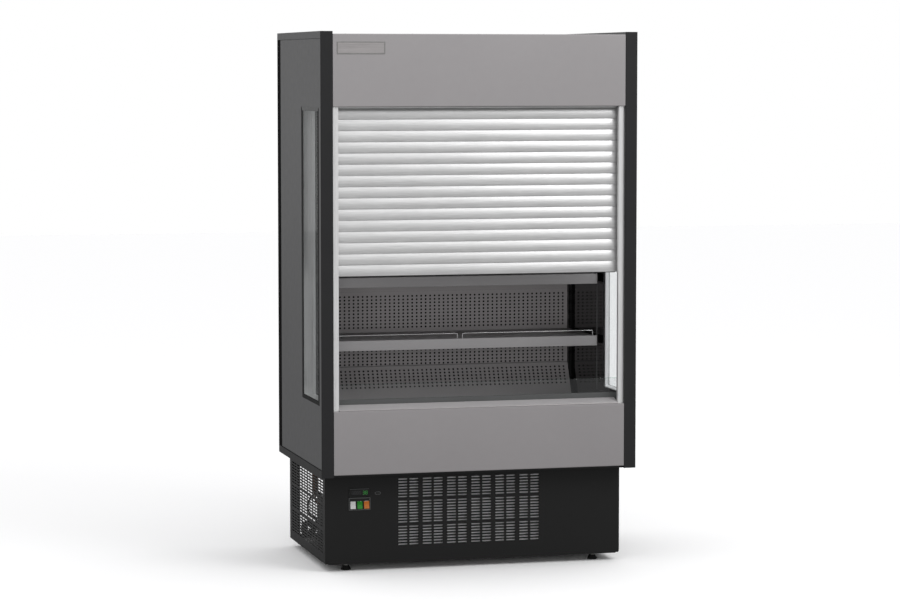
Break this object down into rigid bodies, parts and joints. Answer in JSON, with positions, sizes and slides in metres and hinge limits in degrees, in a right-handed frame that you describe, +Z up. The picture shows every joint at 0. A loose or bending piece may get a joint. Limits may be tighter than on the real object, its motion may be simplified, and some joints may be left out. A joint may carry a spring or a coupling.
{
  "type": "open multideck display fridge",
  "caption": "Free-standing open-front multideck display fridge with shelves, end windows, a roller shutter drawn partly down and a louvred machine base.",
  "frame": {"origin": "bottom centre of the bounding box, on the floor", "axes": "+Z up, -Y towards the shopper, +X to the right seen from the front"},
  "size_m": [1.2, 0.794, 1.988],
  "materials": {
    "fascia_grey": "satin",
    "skin_grey": "satin",
    "black_paint": "satin",
    "black_plastic": "satin",
    "rubber": "matte",
    "clear_glass": "polished",
    "rail_aluminium": "satin",
    "slat_aluminium": "satin",
    "shelf_grey": "satin",
    "back_grey": "satin",
    "lamp_white": "satin",
    "switch_white": "gloss",
    "switch_green": "gloss",
    "switch_orange": "gloss",
    "fin_aluminium": "satin",
    "copper": "satin",
    "compressor_black": "satin"
  },
  "bodies": {
    "cabinet": {"left_end_panel": "skin_grey", "right_end_panel": "skin_grey", "rear_wall": "skin_grey", "roof_panel": "skin_grey", "left_end_trim": "black_paint", "right_end_trim": "black_paint", "insulated_tub": "black_paint", "left_standard": "black_paint", "right_standard": "black_paint", "base_frame": "black_paint", "base_front_panel": "black_paint", "base_left_grille": "black_paint", "base_right_grille": "black_paint", "electrical_box": "black_paint", "shelf_1_left_bracket": "black_paint", "shelf_1_right_bracket": "black_paint", "shelf_2_left_bracket": "black_paint", "shelf_2_right_bracket": "black_paint", "left_nose_strip": "black_plastic", "right_nose_strip": "black_plastic", "glass_channel": "black_plastic", "controller": "black_plastic", "switch_bezel": "black_plastic", "left_window_gasket": "rubber", "right_window_gasket": "rubber", "left_end_glass": "clear_glass", "right_end_glass": "clear_glass", "front_glass": "clear_glass", "upper_fascia": "fascia_grey", "lower_fascia": "fascia_grey", "sill_cap": "fascia_grey", "left_guide_rail": "rail_aluminium", "right_guide_rail": "rail_aluminium", "badge_plate": "rail_aluminium", "shutter_upper_slats": "slat_aluminium", "shelf_1": "shelf_grey", "shelf_2": "shelf_grey", "shelf_3": "shelf_grey", "shelf_4": "shelf_grey", "deck_pan": "shelf_grey", "lower_back_panel": "back_grey", "back_duct_panel": "back_grey", "canopy_duct": "back_grey", "canopy_lamp": "lamp_white", "condenser_coil": "fin_aluminium", "evaporator_coil": "fin_aluminium", "refrigerant_pipes": "copper", "compressor": "compressor_black"},
    "shutter": {"shutter_curtain": "slat_aluminium", "shutter_bottom_bar": "slat_aluminium"},
    "shutter_roll": {"shutter_roll": "slat_aluminium"},
    "front_left_foot": {"front_left_foot": "rubber"},
    "front_right_foot": {"front_right_foot": "rubber"},
    "rear_left_foot": {"rear_left_foot": "rubber"},
    "rear_right_foot": {"rear_right_foot": "rubber"},
    "white_rocker": {"white_rocker": "switch_white"},
    "green_rocker": {"green_rocker": "switch_green"},
    "orange_rocker": {"orange_rocker": "switch_orange"},
    "condenser_fan": {"condenser_fan": "black_plastic"},
    "evaporator_fan": {"evaporator_fan": "black_plastic"}
  },
  "joints": [
    {"name": "shutter_slide", "type": "slide", "parent": "cabinet", "child": "shutter", "axis": [0, 0, 1], "range_m": [-0.4695, 0.0816], "deforming": ["shutter_upper_slats"]},
    {"name": "roll_turn", "type": "hinge", "parent": "cabinet", "child": "shutter_roll", "pos_m": [0, -0.257, 1.86], "axis": [1, 0, 0], "range_deg": [-92, 520]},
    {"name": "front_left_foot_turn", "type": "hinge", "parent": "cabinet", "child": "front_left_foot", "pos_m": [-0.478, -0.247, 0], "axis": [0, 0, 1], "continuous": true},
    {"name": "rear_left_foot_turn", "type": "hinge", "parent": "cabinet", "child": "rear_left_foot", "pos_m": [-0.478, 0.293, 0], "axis": [0, 0, 1], "continuous": true},
    {"name": "front_right_foot_turn", "type": "hinge", "parent": "cabinet", "child": "front_right_foot", "pos_m": [0.478, -0.247, 0], "axis": [0, 0, 1], "continuous": true},
    {"name": "rear_right_foot_turn", "type": "hinge", "parent": "cabinet", "child": "rear_right_foot", "pos_m": [0.478, 0.293, 0], "axis": [0, 0, 1], "continuous": true},
    {"name": "white_rocker_tilt", "type": "hinge", "parent": "cabinet", "child": "white_rocker", "pos_m": [-0.462, -0.296, 0.2465], "axis": [1, 0, 0], "range_deg": [0, 14]},
    {"name": "green_rocker_tilt", "type": "hinge", "parent": "cabinet", "child": "green_rocker", "pos_m": [-0.4362, -0.296, 0.2465], "axis": [1, 0, 0], "range_deg": [0, 14]},
    {"name": "orange_rocker_tilt", "type": "hinge", "parent": "cabinet", "child": "orange_rocker", "pos_m": [-0.4104, -0.296, 0.2465], "axis": [1, 0, 0], "range_deg": [0, 14]},
    {"name": "condenser_fan_spin", "type": "hinge", "parent": "cabinet", "child": "condenser_fan", "pos_m": [-0.02, -0.181, 0.205], "axis": [0, 1, 0], "continuous": true},
    {"name": "evaporator_fan_spin", "type": "hinge", "parent": "cabinet", "child": "evaporator_fan", "pos_m": [0, -0.135, 0.476], "axis": [0, 1, 0], "continuous": true}
  ],
  "couplings": [
    {"joint": "roll_turn", "follows": "shutter_slide", "rad_per_m": -19.2}
  ]
}
